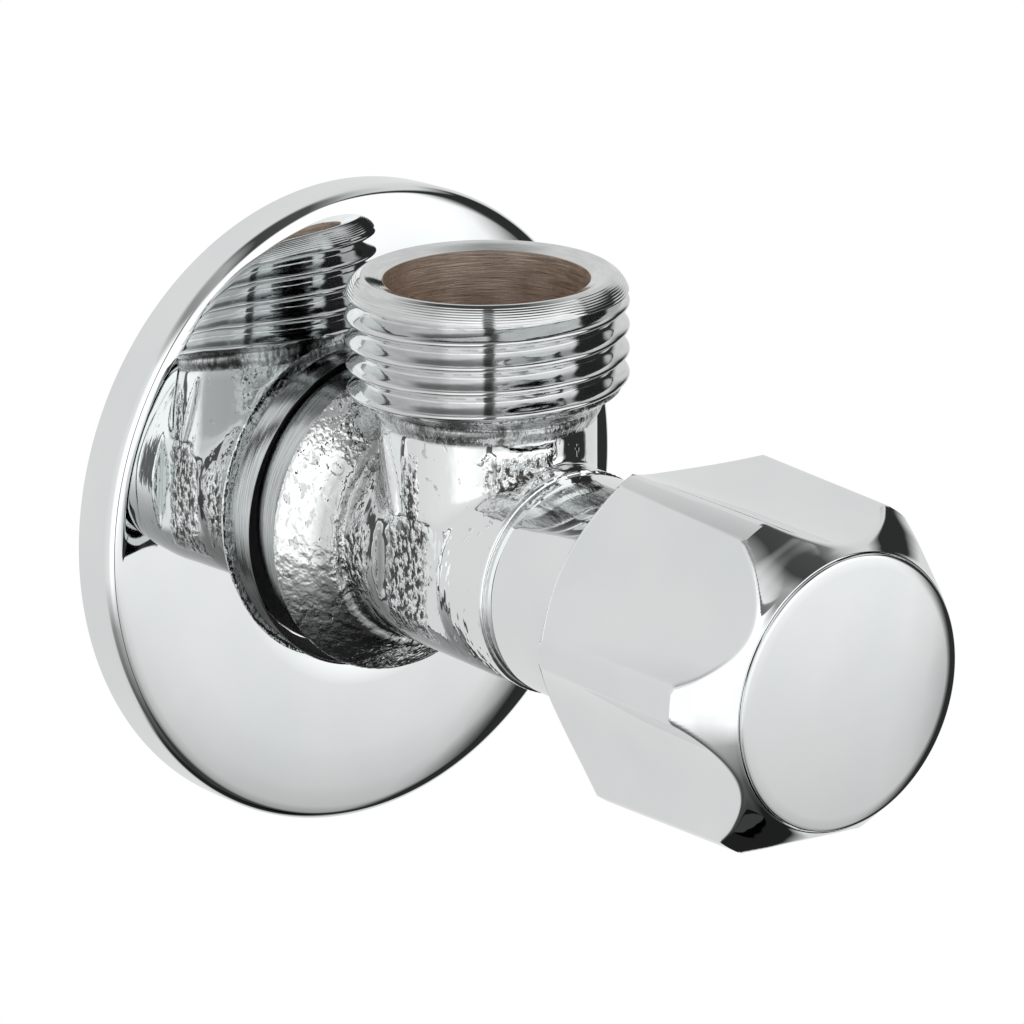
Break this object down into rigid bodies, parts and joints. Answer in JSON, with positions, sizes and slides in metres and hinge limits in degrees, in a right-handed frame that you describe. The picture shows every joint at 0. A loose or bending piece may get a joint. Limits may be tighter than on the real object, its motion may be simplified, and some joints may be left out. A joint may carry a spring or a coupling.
{
  "type": "angle stop valve",
  "caption": "Chromed angle stop valve with a round wall plate, a threaded side outlet and a scalloped hexagonal hand knob that turns a spindle and lifts the closing disc.",
  "frame": {"origin": "on the valve axis in the wall plane, at the centre of the wall plate's back rim", "axes": "-Y along the valve axis out of the wall towards the knob, +Y into the wall along the inlet, +Z along the outlet, +X to the right of a person facing the wall"},
  "size_m": [0.0502, 0.0715, 0.0503],
  "materials": {
    "body_chrome": "chrome plate over a rough forging, with finely turned bands and a bare brown brass outlet bore",
    "plate_chrome": "mirror chrome plate",
    "knob_chrome": "smooth bright chrome plate",
    "brass": "turned brass",
    "steel": "plain stainless steel",
    "rubber": "matt black rubber",
    "ptfe": "matt white sealing plastic",
    "knob_plastic": "moulded off-white plastic"
  },
  "bodies": {
    "valve": {"valve_body": "body_chrome", "wall_rosette": "plate_chrome", "rosette_grip_ring": "rubber", "inlet_seal_ring": "ptfe", "bonnet": "brass", "bonnet_oring": "rubber", "thrust_washer": "ptfe"},
    "knob": {"knob_shell": "knob_chrome", "knob_insert": "knob_plastic", "knob_screw": "steel", "knob_cap": "knob_chrome", "spindle": "brass", "spindle_oring_lower": "rubber", "spindle_oring_upper": "rubber", "retaining_ring": "steel"},
    "disc": {"disc_carrier": "brass", "carrier_oring": "rubber", "seat_washer": "rubber", "washer_plate": "steel", "washer_screw": "steel"}
  },
  "joints": [
    {"name": "knob_turn", "type": "hinge", "parent": "valve", "child": "knob", "pos_m": [0, -0.05, 0], "axis": [0, -1, 0], "range_deg": [0, 1080]},
    {"name": "disc_travel", "type": "slide", "parent": "valve", "child": "disc", "axis": [0, -1, 0], "range_m": [0, 0.0045]}
  ],
  "couplings": [
    {"joint": "disc_travel", "follows": "knob_turn", "m_per_rad": 0.00023873}
  ]
}
